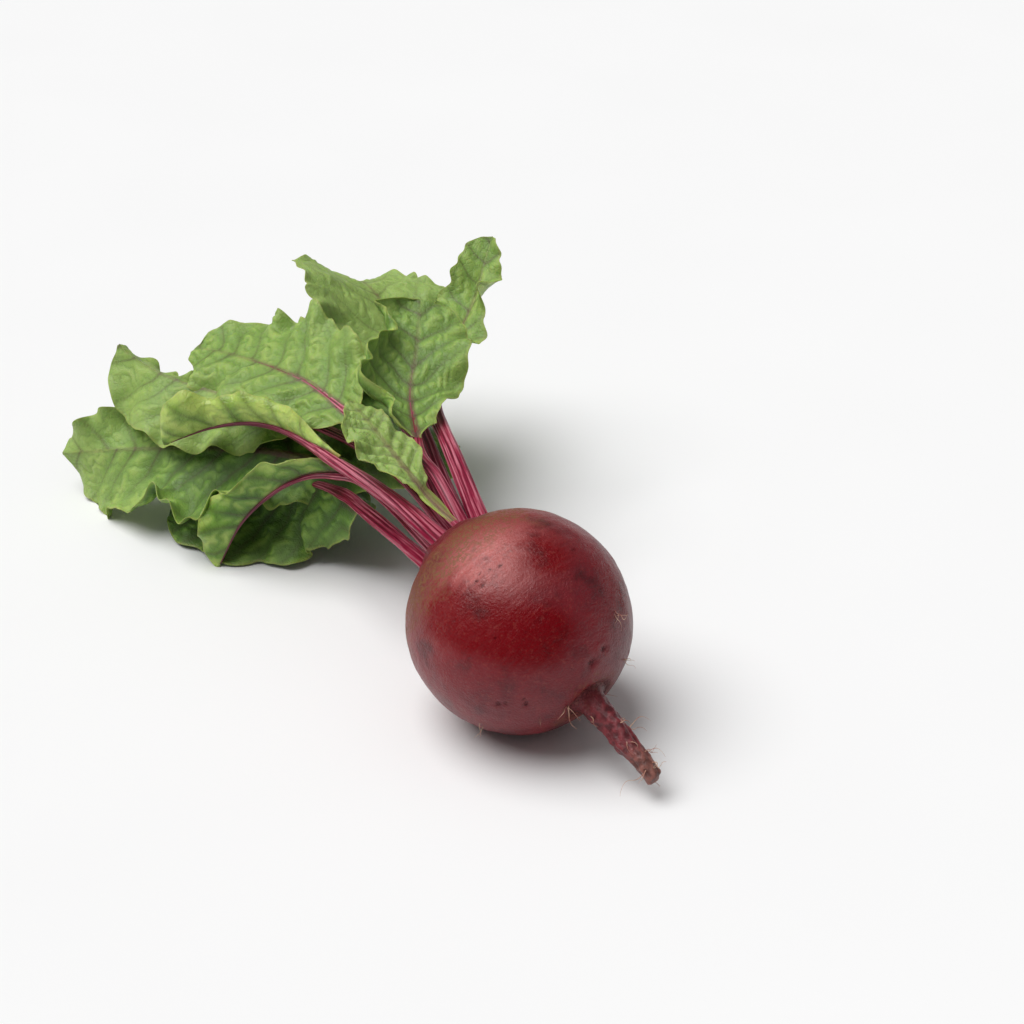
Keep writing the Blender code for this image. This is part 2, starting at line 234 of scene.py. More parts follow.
def root_surface():
    """The half section turned about the axis, each point moved along its normal by lumps, growth
    rings, the hollow round the tail, the tail's wrinkles and the marks in the skin."""
    section = half_section(ROOT_RINGS + 2)
    slope = np.gradient(section, axis=0)
    slope /= np.linalg.norm(slope, axis=1, keepdims=True)
    around = np.arange(ROOT_SIDES) * math.tau / ROOT_SIDES
    spoke = np.stack([np.cos(around), np.sin(around)], axis=1)[None]
    ring = section[1:-1, None]
    tilt = slope[1:-1, None]
    level = (ROOT_RINGS, ROOT_SIDES, 1)
    rest = np.concatenate([ring[..., :1] * spoke, np.broadcast_to(ring[..., 1:], level)], axis=-1)
    normal = np.concatenate([tilt[..., 1:] * spoke, np.broadcast_to(-tilt[..., :1], level)], axis=-1)
    out, height = ring[..., 0], ring[..., 1]
    tail = smooth(-height, GLOBE - 1 * MM, GLOBE + 7 * MM)
    crown = smooth(height, 0.80 * GLOBE, 0.97 * GLOBE)
    away = rest / np.linalg.norm(rest, axis=-1, keepdims=True)
    polar = np.degrees(np.arccos(np.clip(away[..., 2], -1, 1)))

    move = 0.32 * ripple(rest, 52 * MM, 1, 2) * (1 - tail) + 0.06 * ripple(rest, 9 * MM, 2, 2)
    wobble = 0.8 * MM * ripple(rest, 14 * MM, 3, 2)
    rings = np.sin((height + wobble) * math.tau / GROWTH_RING_STEP)
    move = move + 0.07 * rings * (1 - tail) * (0.3 + 0.7 * crown)
    moat = np.exp(-((out - MOAT_RADIUS) / MOAT_HALF_WIDTH) ** 2) * smooth(-height, 0.7 * GLOBE, 0.9 * GLOBE)
    creases = ripple(rest * (1.0, 1.0, 1.2), 3.4 * MM, 6, 3)
    move = move - MOAT_DEPTH * moat * (0.8 + 0.4 * np.cos(around + 0.8)[None])
    move = move + tail * (0.13 * creases + 0.36 * ripple(rest * (1, 1, 0.35), 5 * MM, 4, 2))
    move = move + crown * 0.35 * ripple(rest, 7 * MM, 5, 2)
    scar_and_hollow_shade = np.zeros_like(move)
    for from_crown, turn, depth, half in SKIN_MARKS:
        gap = np.linalg.norm((away - skin_way(from_crown, turn)) * (1.0, 1.0, 1.7), axis=-1) * GLOBE / MM
        move = move - depth * np.exp(-(gap / half) ** 2)
        move = move + 0.25 * depth * np.exp(-((gap - 1.8 * half) / half) ** 2)
        scar_and_hollow_shade = np.maximum(scar_and_hollow_shade, np.exp(-(gap / (0.8 * half)) ** 2) * min(1, 1.6 / half))
    points = rest + normal * move[..., None] * MM
    beyond = np.maximum(0, -points[..., 2] - GLOBE) / TAIL_LENGTH
    points[..., 0] -= TAIL_DROOP * beyond ** 2
    ends = np.array([(-TAIL_DROOP, 0, section[0, 1]), (0, 0, section[-1, 1])])
    placed = np.vstack([root_place(points).reshape(-1, 3), root_place(ends)])
    placed[:, 2] = np.maximum(placed[:, 2], root_low.z)
    # The hollow round the tail is darkened along with the scars: painted shade.
    scar_and_hollow_shade = np.maximum(scar_and_hollow_shade, 0.75 * moat)
    shoulder = np.exp(-((polar - 50) / 24) ** 2) * (0.80 + 0.20 * np.cos(around + 0.9)[None])
    clear_of_dust_and_sheen = np.zeros_like(move)
    for from_crown, turn, half in SKIN_CLEAR_OF_DUST_AND_SHEEN:
        apart = np.degrees(np.arccos(np.clip(away @ skin_way(from_crown, turn), -1, 1)))
        clear_of_dust_and_sheen = clear_of_dust_and_sheen + np.exp(-(apart / half) ** 2)
    low_side = np.exp(-((polar - 165) / 10) ** 2) * 0.5
    from_bloom = np.angle(np.exp(1j * (around + 0.55)))[None]
    values = {
        "russet": np.clip(shoulder + low_side, 0, 1),
        "scar_and_hollow_shade": scar_and_hollow_shade,
        "tail": tail * np.ones_like(move),
        # painted shade in the tail's sunken creases
        "crease_shade": np.clip(0.5 - 0.6 * creases, 0, 1) * tail,
        # painted highlight: a pale pink patch high on the upper left of the globe, where the key light's
        # reflection falls
        "bloom": np.exp(-((polar - 76) / 20) ** 2 - (from_bloom / 0.60) ** 2),
        "clear_of_dust_and_sheen": np.clip(clear_of_dust_and_sheen, 0, 1),
        "tail_end": smooth(-height, GLOBE + 18 * MM, GLOBE + 29 * MM) * np.ones_like(move),
        "crown": crown * np.ones_like(move),
    }
    values = {key: np.append(value.ravel(), value[[0, -1], 0]) for key, value in values.items()}
    return placed, values


# Beet skin is a thin periderm, washed but not peeled: satin, deep red in patches and dusty and duller
# elsewhere, the patches and the dull skin round them partly painted reflection of the dim room and of the
# floor. A painted highlight lies high on the upper left, and painted shade in the tail's creases and the
# hollow round it, with corky russet flecks at the shoulder and hair-fine scratches round it.
skin, tree, shader = new_material("beet_skin_periderm", IOR=1.42, Metallic=0.0)
place = add(tree, "TexCoord").outputs["Object"]
turned = add(tree, "Mapping", {"vector_type": "TEXTURE"}, Vector=place, Location=tuple(GLOBE_CENTRE),
             Rotation=(0, CROWN_TILT - math.pi / 2, 0)).outputs[0]
clouds = add(tree, "TexNoise", Vector=turned, Scale=1 / (24 * MM), Detail=5.0, Roughness=0.6).outputs["Fac"]
tint = add(tree, "ValToRGB", Fac=clouds)
light, dark = tint.color_ramp.elements
light.position, dark.position = 0.40, 0.62
light.color, dark.color = linear("#7C1822"), linear("#641C26")
threads = add(tree, "Mapping", Vector=turned, Scale=(1, 1, 5)).outputs[0]
threads = add(tree, "TexNoise", Vector=threads, Scale=1 / (9 * MM), Detail=5.0, Roughness=0.7).outputs["Fac"]
scratch = add(tree, "MapRange", Value=threads, in1=0.54, in2=0.72).outputs[0]
dusty = add(tree, "Math", TIMES, in0=scratch, in1=0.26).outputs[0]
grit = add(tree, "TexNoise", Vector=turned, Scale=1 / (1.3 * MM), Detail=3.0, Roughness=0.65).outputs["Fac"]
fleck = add(tree, "MapRange", Value=grit, in1=0.56, in2=0.68).outputs[0]
# Painted highlight: the pale pink patch where the key light's reflection falls, mixed into the colour, with
# more shine.
bloom = add(tree, "Attribute", {"attribute_name": "bloom"}).outputs["Fac"]
bloom = add(tree, "Math", TIMES, in0=bloom, in1=0.85).outputs[0]
clear_of_dust_and_sheen = add(tree, "Attribute", {"attribute_name": "clear_of_dust_and_sheen"}).outputs["Fac"]
clear_of_dust_and_sheen = add(tree, "Math", TIMES_PLUS, in0=threads, in1=1.1, in2=clear_of_dust_and_sheen).outputs[0]
clear_of_dust_and_sheen = add(tree, "Math", TIMES_PLUS, in0=clouds, in1=1.2, in2=clear_of_dust_and_sheen).outputs[0]
clear_of_dust_and_sheen = add(tree, "MapRange", {"interpolation_type": "SMOOTHSTEP"}, Value=clear_of_dust_and_sheen,
            in1=1.00, in2=2.15).outputs[0]
# Deep red patches: partly the skin's own red, partly painted reflection of the dim room; the duller skin
# round them is partly painted reflection of the floor.
red = add(tree, "Math", TIMES, in0=clear_of_dust_and_sheen, in1=0.96).outputs[0]
faint = add(tree, "Math", TIMES, in0=fleck, in1=0.28).outputs[0]
smudge = add(tree, "TexNoise", Vector=turned, Scale=1 / (11 * MM), Detail=6.0, Roughness=0.68).outputs["Fac"]
smudge = add(tree, "MapRange", Value=smudge, in1=0.54, in2=0.72, in4=0.68).outputs[0]
russet = add(tree, "Attribute", {"attribute_name": "russet"}).outputs["Fac"]
patchy = add(tree, "TexNoise", Vector=turned, Scale=1 / (7 * MM), Detail=6.0, Roughness=0.7).outputs["Fac"]
cork = add(tree, "Math", TIMES_PLUS, in0=russet, in1=0.62, in2=patchy).outputs[0]
cork = add(tree, "MapRange", Value=cork, in1=0.68, in2=1.05).outputs[0]
speck = add(tree, "TexNoise", Vector=turned, Scale=1 / (1.0 * MM), Detail=2.0, Roughness=0.6).outputs["Fac"]
speck = add(tree, "MapRange", Value=speck, in1=0.47, in2=0.53, in3=0.05).outputs[0]
cork = add(tree, "Math", TIMES, in0=cork, in1=speck).outputs[0]
cork = add(tree, "Math", TIMES, in0=cork, in1=0.9).outputs[0]
colour = tint.outputs["Color"]
for amount, shade in ((dusty, "#9A4A4C"), (bloom, "#D26E68"), (red, "#74000A"), (faint, "#9A4A40"),
                      (smudge, "#3A1014"), (cork, "#7A5230")):
    colour = add(tree, "MixRGB", Fac=amount, Color1=colour, Color2=linear(shade)).outputs[0]
for zone, share, shade in (("tail", 0.85, "#7E3238"), ("tail_end", 0.7, "#96685A")):
    amount = add(tree, "Attribute", {"attribute_name": zone}).outputs["Fac"]
    amount = add(tree, "Math", TIMES, in0=amount, in1=share).outputs[0]
    colour = add(tree, "MixRGB", Fac=amount, Color1=colour, Color2=linear(shade)).outputs[0]
# Dark scars and cracks, and painted shade in the hollow round the tail.
scars_and_hollow_shade = add(tree, "Attribute", {"attribute_name": "scar_and_hollow_shade"}).outputs["Fac"]
crack = add(tree, "Math", {"operation": "SUBTRACT"}, in0=grit, in1=0.5).outputs[0]
crack = add(tree, "Math", {"operation": "ABSOLUTE"}, in0=crack).outputs[0]
crack = add(tree, "MapRange", Value=crack, in1=0.0, in2=0.045, in3=1.5, in4=0.45).outputs[0]
scars_and_hollow_shade = add(tree, "Math", TIMES, in0=scars_and_hollow_shade, in1=crack).outputs[0]
scars_and_hollow_shade = add(tree, "MapRange", Value=scars_and_hollow_shade, in1=0.10, in2=0.80, in4=0.85).outputs[0]
colour = add(tree, "MixRGB", Fac=scars_and_hollow_shade, Color1=colour, Color2=linear("#26090C")).outputs[0]
# The crown's own darker red, then painted shade darkening the tail's creases.
for zone, share, shade in (("crown", 0.8, "#6A1826"), ("crease_shade", 0.6, "#22080E")):
    amount = add(tree, "Attribute", {"attribute_name": zone}).outputs["Fac"]
    amount = add(tree, "Math", TIMES, in0=amount, in1=share).outputs[0]
    colour = add(tree, "MixRGB", Fac=amount, Color1=colour, Color2=linear(shade)).outputs[0]
tree.links.new(colour, shader.inputs["Base Color"])
gloss = add(tree, "MapRange", Value=clear_of_dust_and_sheen, in3=0.35, in4=0.27).outputs[0]
gloss = add(tree, "Math", TIMES_PLUS, in0=cork, in1=0.3, in2=gloss).outputs[0]
tree.links.new(gloss, shader.inputs["Roughness"])
shine = add(tree, "MapRange", Value=clear_of_dust_and_sheen, in3=0.50, in4=0.18).outputs[0]
shine = add(tree, "Math", TIMES_PLUS, in0=bloom, in1=0.5, in2=shine).outputs[0]
shine = add(tree, "Math", TIMES_PLUS, in0=scars_and_hollow_shade, in1=-0.5, in2=shine).outputs[0]
tree.links.new(shine, shader.inputs["Specular IOR Level"])
fine = add(tree, "TexNoise", Vector=turned, Scale=1 / (0.9 * MM), Detail=3.0, Roughness=0.65).outputs["Fac"]
relief = add(tree, "Math", TIMES_PLUS, in0=threads, in1=1.0, in2=fine).outputs[0]
bump = add(tree, "Bump", Strength=0.85, Distance=0.42 * MM, Height=relief).outputs[0]
tree.links.new(bump, shader.inputs["Normal"])

root_points, root_values = root_surface()
root = mesh_piece("root", root_points, *tube_faces(ROOT_RINGS, ROOT_SIDES), root_values, skin)
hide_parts("beet_root")
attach(root, "root")

# ---------------------------------------------------------------------------------------------
# Hair roots. Fine wiry side roots that were left on the tail and in the creases of the skin,
# dry and curled. They grew out of the root, so each starts just inside its skin.

HAIR_RINGS = 16
HAIR_SIDES = 5

# Each tuft: how far it is from the crown's middle in degrees, or on the tail from the globe in
# millimetres; degrees round the axis; how many hairs; and in millimetres their length and half width.
SKIN_TUFTS = [(163, -78, 4, 7, 0.17), (132, 28, 4, 9, 0.13), (150, -95, 2, 5, 0.12), (152, 60, 3, 8, 0.14),
              (120, -120, 2, 6, 0.15), (140, 140, 3, 8, 0.16)]
TAIL_TUFTS = [(6, -60, 2, 7, 0.2), (12, 10, 2, 8, 0.18), (14, 80, 2, 9, 0.2), (20, -30, 2, 8, 0.16),
              (24, 40, 3, 9, 0.16), (29, 20, 2, 12, 0.2), (31, -70, 2, 10, 0.16), (27, 150, 3, 9, 0.16)]


def hair_points(start, heading, length, half, random):
    """A tapering tube along a line that starts along its heading, wanders with two slow sines, and
    sinks towards the ground with the square of its length; its rings are square to its heading."""
    t = np.linspace(0, 1, HAIR_RINGS)[:, None]
    across = np.cross(heading, (0.3, 0.5, 0.8))
    across /= np.linalg.norm(across)
    upright = np.cross(heading, across)
    sway = [random.uniform(0.10, 0.30) * length * np.sin(t * random.uniform(3, 8) + p)
            for p in random.uniform(0, 6, 2)]
    line = start + heading * (t * length - 0.8 * MM)
    line = line + (across * (sway[0] - sway[0][0]) + upright * (sway[1] - sway[1][0])) * t
    line = line - np.array((0, 0, 0.35 * length)) * t ** 2
    line[:, 2] = np.maximum(line[:, 2], root_low.z + 0.3 * MM)
    around = np.arange(HAIR_SIDES) * math.tau / HAIR_SIDES
    ring = np.cos(around)[None, :, None] * across + np.sin(around)[None, :, None] * upright
    size = half * (1 - 0.75 * t)[:, :, None]
    points = (line[:, None] + ring * size).reshape(-1, 3)
    return np.vstack([points, line[:1], line[-1:]])


# Dry root fibre: a pale tan to pink cellulose thread, matt.
fibre, tree, shader = new_material("dry_root_fibre", IOR=1.45, Metallic=0.0, Roughness=0.7)
place = add(tree, "TexCoord").outputs["Object"]
mottle = add(tree, "TexNoise", Vector=place, Scale=1 / (3 * MM), Detail=2.0).outputs["Fac"]
tint = add(tree, "ValToRGB", Fac=mottle)
dark, light = tint.color_ramp.elements
dark.position, light.position = 0.35, 0.65
dark.color, light.color = linear("#A86A5C"), linear("#D9B79C")
tree.links.new(tint.outputs["Color"], shader.inputs["Base Color"])

random = np.random.default_rng(11)
strands = []
for polar, turn, count, length, half in SKIN_TUFTS:
    for _ in range(count):
        way = skin_way(polar + random.normal(0, 1.2), turn + random.normal(0, 2))
        start = root_place(way[None] * GLOBE)[0]
        heading = (start - GLOBE_CENTRE) / GLOBE + random.normal(0, 0.55, 3)
        strands.append((start, heading, length * random.uniform(0.5, 1.2) * MM, half * MM))
for beyond, turn, count, length, half in TAIL_TUFTS:
    for _ in range(count):
        at = (beyond + random.normal(0, 1)) * MM
        b = math.radians(turn + random.normal(0, 15))
        girth = TAIL_NECK + (TAIL_TIP - TAIL_NECK) * np.clip(at / TAIL_LENGTH, 0, 0.9)
        droop = TAIL_DROOP * (at / TAIL_LENGTH) ** 2
        start = root_place(np.array([(girth * math.cos(b) - droop, girth * math.sin(b), -GLOBE - at)]))[0]
        heading = math.cos(b) * ABOVE + math.sin(b) * SIDEWAYS - 0.4 * CROWNWARD + random.normal(0, 0.4, 3)
        strands.append((start, heading, length * random.uniform(0.5, 1.2) * MM, half * MM))
hair_sets = [hair_points(s, h / np.linalg.norm(h), l, w, random) for s, h, l, w in strands]
hair_quads, hair_fans = tube_faces(HAIR_RINGS, HAIR_SIDES)
shift = np.arange(len(hair_sets)) * len(hair_sets[0])
hairs = mesh_piece(
    "root_hairs", np.vstack(hair_sets), (hair_quads[None] + shift[:, None, None]).reshape(-1, 4),
    (hair_fans[None] + shift[:, None, None]).reshape(-1, 3), {}, fibre)
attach(hairs, "root")

# ---------------------------------------------------------------------------------------------
# Stalks. Eleven ribbed, juicy leaf stalks, magenta with pale streaks, each running on as the
# midrib of its blade. They grow out of the crown close together, gutter-shaped on their inner side.

# Each leaf, in millimetres and degrees:
#   seat      where its stalk leaves the crown: to the +Y side of the root's axis, and above it
#   route     the rest of the stalk's and then the midrib's centre line, to the leaf's tip
#   blade_at  the route point, counted from 0, where the blade starts
#   girth     half the stalk's width at the crown, and where the blade starts
#   width     the left and the right half blade's greatest width
#   widest    where along the blade that is, from 0 at its base to 1 at its tip
#   lift      each half's angle above level next to the midrib: at the blade's base, middle and tip
#   curl      how far each half bends upwards from midrib to margin, at the same places
#   waves     the height of the margin's waves, how many there are, and where they start
#   early     how far before its base the blade begins, in blade lengths, where it isn't 0.05
#   wing      how far before its base a narrow wing of blade runs down the stalk, if there is one
#   point     how pointed the tip is, where it isn't 0.5
#   cover     how far above the midrib the blade passes, in midrib radii, where it isn't 0.35
#   ruffle    the height of the shorter, uneven waves along the margin
#   frill     the height of the finest waves, at the very margin, where it isn't 0.8
#   blister   how far the blade's flesh stands up between its veins
#   tone      the blade's colour at its base and its tip, from 0, old and dark, to 1, young and yellow,
#             set lower on leaves in shade and higher on lit ones as painted shade and light
#   flush     the stalk's colour, from 0, dark maroon, to 1, bright pink
LEAVES = {
    "leaf_01": dict(  # the lowest, on the near side: both halves hang down close to the floor
        seat=(-5.5, -8),
        route=[(-92, 8, 37), (-112, 12, 35), (-135, 13, 30), (-150, 8, 22), (-165, -1, 14), (-177, -9, 9),
               (-189, -16, 6)],
        blade_at=1, girth=(3.0, 2.4), width=(28.5, 25), widest=(0.48, 0.4),
        lift=((-80, -50, -5), (-40, -20, 10)), curl=((-30, 0, 0), (-20, 0, 10)), waves=(1.5, 3, 0.0),
        early=0.18, ruffle=2.6, blister=0.9, tone=(0.0, 0.0), flush=0.55),
    "leaf_02": dict(  # arches over the lowest, folded, its tip just above the floor
        seat=(-1.5, -4.5),
        route=[(-72, 6, 49), (-97, 9, 48), (-109, 7, 46), (-120, 1, 43), (-130, -7, 35), (-141, -15, 20),
               (-149, -22, -1)],
        blade_at=2, girth=(2.4, 1.9), width=(14, 10), widest=(0.6, 0.6),
        lift=((70, 80, 90), (30, 40, 40)), curl=((0, 0, 0), (0, 0, 0)), waves=(1.5, 3, 0.3),
        ruffle=2.4, blister=0.7, tone=(0.5, 0.6), flush=0.6),
    "leaf_03": dict(  # on the thickest stalk, folded, with its near half rolled over the top
        seat=(-2.5, 3),
        route=[(-68, 0, 57), (-107, 2, 57), (-134, 3, 56), (-150, -2, 55), (-163, -10, 51), (-172, -18, 46),
               (-178, -23, 42)],
        blade_at=1, girth=(4.2, 2.9), width=(14, 12), widest=(0.7, 0.6),
        lift=((60, 70, 70), (-30, -15, -10)), curl=((90, 90, 70), (0, 0, 0)), waves=(1.5, 3, 0.1),
        early=0.10, ruffle=1.6, blister=0.6, frill=0.9, tone=(1.1, 1.0), flush=0.8),
    "leaf_04": dict(  # the longest, its tip low at the far end
        seat=(1, -10),
        route=[(-80, 16, 37), (-108, 22, 36), (-132, 18, 37), (-153, 9, 37), (-172, 0, 34), (-195, -10, 29),
               (-222, -22, 22), (-242, -32, 16)],
        blade_at=2, girth=(2.8, 2.2), width=(29, 16), widest=(0.6, 0.65),
        lift=((-65, -45, -110), (10, 20, 60)), curl=((10, 80, 0), (10, 10, 0)), waves=(2.5, 4, 0.2),
        early=0.25, cover=1.1, point=0.36, frill=1.3, ruffle=4.4, blister=1.0, tone=(0.0, 1.1), flush=0.5),
    "leaf_05": dict(  # both halves hang from its midrib, its tip turned up
        seat=(7, -9),
        route=[(-80, 22, 46), (-120, 26, 48), (-158, 21, 48), (-192, 7, 50), (-210, -1, 53), (-226, -3, 55),
               (-235, -5, 59)],
        blade_at=2, girth=(2.8, 2.0), width=(26, 16), widest=(0.5, 0.5),
        lift=((-30, -37, -70), (-30, -40, -30)), curl=((0, 0, 0), (0, 0, 0)), waves=(2, 3, 0.5),
        early=0.20, cover=1.1, point=0.42, ruffle=3.0, blister=0.9, tone=(0.7, 1.0), flush=0.5),
    "leaf_06": dict(  # broad and blistered, the highest on the near side
        seat=(4.5, -2),
        route=[(-72, 12, 57), (-108, 20, 62), (-122, 21, 64), (-142, 22, 66), (-158, 21, 66), (-178, 22, 63),
               (-200, 22, 59), (-219, 21, 55)],
        blade_at=2, girth=(2.6, 2.0), width=(22, 28), widest=(0.5, 0.45),
        lift=((-20, -15, -20), (40, 28, 20)), curl=((-20, -60, -30), (0, 0, 10)), waves=(2, 4, 0.0),
        early=0.12, ruffle=2.8, blister=2.2, tone=(0.6, 0.55), flush=0.6),
    "leaf_07": dict(  # the small young one
        seat=(1, 9.5),
        route=[(-50, 3.5, 62), (-57, 3, 66), (-74, 5, 72), (-86, 6, 77), (-100, 8, 80)],
        blade_at=1, girth=(1.5, 1.1), width=(12, 10), widest=(0.5, 0.5),
        lift=((10, 0, 0), (10, 0, 0)), curl=((0, 0, 0), (0, 0, 0)), waves=(1, 3, 0.0),
        wing=0.5, frill=1.1, point=0.85, ruffle=2.8, blister=3.0, tone=(0.95, 0.9), flush=0.75),
    "leaf_08": dict(  # stands up in the middle, its left margin rolled inwards
        seat=(4.5, 5),
        route=[(-57, 13, 64), (-72, 18, 65), (-86, 27, 65), (-106, 41, 69), (-118, 54, 78), (-128, 64, 85),
               (-134, 70, 90)],
        blade_at=2, girth=(2.4, 1.9), width=(23, 20), widest=(0.45, 0.65),
        lift=((20, 10, 10), (10, 0, 0)), curl=((60, 120, 60), (0, 0, 0)), waves=(2, 3, 0.0),
        ruffle=2.6, blister=1.4, tone=(0.45, 0.5), flush=0.6),
    "leaf_09": dict(  # large, on the far side, folded over backwards near its tip
        seat=(10.5, -4),
        route=[(-69, 28, 48), (-101, 45, 50), (-140, 66, 53), (-160, 78, 60), (-178, 85, 69), (-192, 88, 72),
               (-205, 92, 67), (-213, 94, 57)],
        blade_at=2, girth=(2.6, 2.2), width=(36, 27), widest=(0.4, 0.5),
        lift=((10, 25, 36), (0, -8, 0)), curl=((0, 0, 0), (0, 0, 0)), waves=(2, 3, 0.0),
        ruffle=3.6, blister=1.0, frill=0.9, tone=(1.0, 1.2), flush=0.3),
    "leaf_10": dict(  # on the farthest side, upright at its tip
        seat=(11.5, 4),
        route=[(-72, 33, 60), (-105, 52, 60), (-124, 70, 61), (-138, 90, 64), (-147, 108, 72),
               (-155, 121, 83), (-159, 129, 92)],
        blade_at=2, girth=(3.6, 2.4), width=(13, 10), widest=(0.6, 0.6),
        lift=((20, 20, 20), (20, 20, 20)), curl=((10, 10, 10), (10, 10, 10)), waves=(2, 3, 0.0),
        ruffle=2.4, blister=0.9, tone=(0.6, 0.6), flush=0.65),
    "leaf_11": dict(  # low under the far side, both halves hanging
        seat=(12.5, -9.5),
        route=[(-76, 31, 37), (-106, 45, 39), (-132, 55, 44), (-158, 62, 50), (-182, 67, 51), (-202, 70, 44)],
        blade_at=1, girth=(2.1, 1.8), width=(35, 25), widest=(0.4, 0.5),
        lift=((-10, -24, -20), (-20, -20, -20)), curl=((0, -30, -20), (0, -20, -20)), waves=(2, 3, 0.25),
        early=0.20, ruffle=2.4, blister=0.9, tone=(0.1, 0.3), flush=0.35),
}
STALK_ROOTING = 4 * MM
MIDRIB_SHARE = 0.96
MIDRIB_TIP = 0.25 * MM
STALK_SIDES = 44
STALK_STEP = 1.1 * MM
CURVE_STEPS = 24  # from one route point to the next


def parabola(values, share):
    """A value that changes smoothly through the three given at shares 0, 1/2 and 1."""
    base, middle, tip = values
    return (base * (1 - share) * (1 - 2 * share) + middle * 4 * share * (1 - share)
            + tip * share * (2 * share - 1))


def curve_through(corners):
    """A Catmull-Rom curve through the corners: each span is the cubic whose slope at a corner is half
    the step between that corner's neighbours."""
    ends = np.vstack([2 * corners[0] - corners[1], corners, 2 * corners[-1] - corners[-2]])
    t = (np.arange(CURVE_STEPS) / CURVE_STEPS)[None, :, None]
    a, b, c, d = (ends[i:len(ends) - 3 + i, None] for i in range(4))
    spans = b + 0.5 * ((c - a) * t + (2 * a - 5 * b + 4 * c - d) * t ** 2 + (3 * b - a - 3 * c + d) * t ** 3)
    return np.vstack([spans.reshape(-1, 3), corners[-1:]])


def leaf_line(row):
    """The leaf's centre line, its length up to each point, and where the blade starts along it."""
    seat = np.array((row["seat"][1] * MM, row["seat"][0] * MM, GLOBE - STALK_ROOTING))
    line = curve_through(np.vstack([root_place(seat[None]), np.array(row["route"]) * MM]))
    along = np.concatenate([[0], np.cumsum(np.linalg.norm(np.diff(line, axis=0), axis=1))])
    return line, along, along[(row["blade_at"] + 1) * CURVE_STEPS]


def leaf_frame(row, along):
    """Centre, left and up at each length along the leaf: left is level and square to the line, up is
    square to both. The last two are up and left turned, to halve the angle between the half blades."""
    line, reach, blade_start = leaf_line(row)
    slopes = np.gradient(line, reach, axis=0)
    centre = np.stack([np.interp(along, reach, v) for v in line.T], axis=1)
    ahead = np.stack([np.interp(along, reach, v) for v in slopes.T], axis=1)
    ahead /= np.linalg.norm(ahead, axis=1, keepdims=True)
    left = np.cross((0, 0, 1), ahead)
    left /= np.linalg.norm(left, axis=1, keepdims=True)
    up = np.cross(ahead, left)
    share = np.clip((along - blade_start) / (reach[-1] - blade_start), 0, 1)
    lifts = [parabola(np.radians(angles), share) for angles in row["lift"]]
    tilt = ((lifts[0] - lifts[1]) / 2 * np.clip(along / blade_start, 0, 1))[:, None]
    return centre, left, up, np.cos(tilt) * up - np.sin(tilt) * left, np.cos(tilt) * left + np.sin(tilt) * up


def stalk_radius(row, along):
    """Half the stalk's width: it flares at the crown, tapers to the blade, then as the midrib to its
    thin tip, by the share of the way to the power 0.6."""
    _, reach, blade_start = leaf_line(row)
    stalk = np.interp(along, (0, blade_start), np.array(row["girth"]) * MM)
    share = np.clip((along - blade_start) / (MIDRIB_SHARE * (reach[-1] - blade_start)), 0, 1)
    return stalk + (MIDRIB_TIP - stalk) * share ** 0.6


def stalk_surface(row, seed):
    """An oval with a gutter on its inner side and nine ribs, carried along the centre line: half
    width times the cosine, four fifths of it times the sine, less the gutter's cubed sine."""
    _, reach, blade_start = leaf_line(row)
    end = blade_start + MIDRIB_SHARE * (reach[-1] - blade_start)
    rings = max(40, round(end / STALK_STEP))
    along = np.linspace(0, end, rings)
    centre, _, _, above, beside = leaf_frame(row, along)
    share = np.clip((along - blade_start) / (end - blade_start), 0, 1)[:, None]
    around = (np.arange(STALK_SIDES) * math.tau / STALK_SIDES)[None]
    twist = 0.10 * np.sin(along / (31 * MM) + seed)[:, None]
    ribs = np.cos(9 * (around + twist)) + 0.45 * np.cos(16 * around + 5 * twist + seed)
    size = stalk_radius(row, along)[:, None] * (1 + 0.065 * ribs * (1 - 0.5 * share))
    size = size * (1 + 0.03 * ripple(centre, 26 * MM, seed, 2))[:, None]
    gutter = 0.28 * np.maximum(np.sin(around), 0) ** 3 * (1 - 0.7 * share)
    across, height = size * np.cos(around), size * (0.82 * np.sin(around) - gutter)
    points = centre[:, None] + across[..., None] * beside[:, None] + height[..., None] * above[:, None]
    values = {
        "flow": np.stack([across, height, along[:, None] * np.ones_like(around)], axis=-1),
        # how high each point stands on its rib, for the painted highlight on the crests
        "rib": (ribs / 1.45 * 0.5 + 0.5) * np.ones_like(across),
        "near_crown": np.exp(-along / (30 * MM))[:, None] * np.ones_like(across),
        "midrib": share * np.ones_like(across),
        "flush": np.full_like(across, row["flush"]),
    }
    ends = np.array([centre[0], centre[-1]])
    flat = {}
    for key, value in values.items():
        kept = value.reshape(-1, 3) if value.ndim == 3 else value.ravel()
        flat[key] = np.concatenate([kept, kept[[0, -1]]])
    return np.vstack([points.reshape(-1, 3), ends]), tube_faces(rings, STALK_SIDES), flat


# Beet petiole: juicy ribbed tissue under a smooth wet-looking cuticle, magenta from betalain, with
# pale pink strands along it, its rib crests painted lighter as painted highlight and the grooves between the
# ribs darker as painted shade.
petiole, tree, shader = new_material("beet_petiole", IOR=1.40, Metallic=0.0, Specular_IOR_Level=0.5)
flow = add(tree, "Attribute", {"attribute_name": "flow"}).outputs["Vector"]
drawn = add(tree, "Mapping", Vector=flow, Scale=(1, 1, 0.03)).outputs[0]
streaks = add(tree, "TexNoise", Vector=drawn, Scale=1 / (0.75 * MM), Detail=4.0,
              Roughness=0.65).outputs["Fac"]
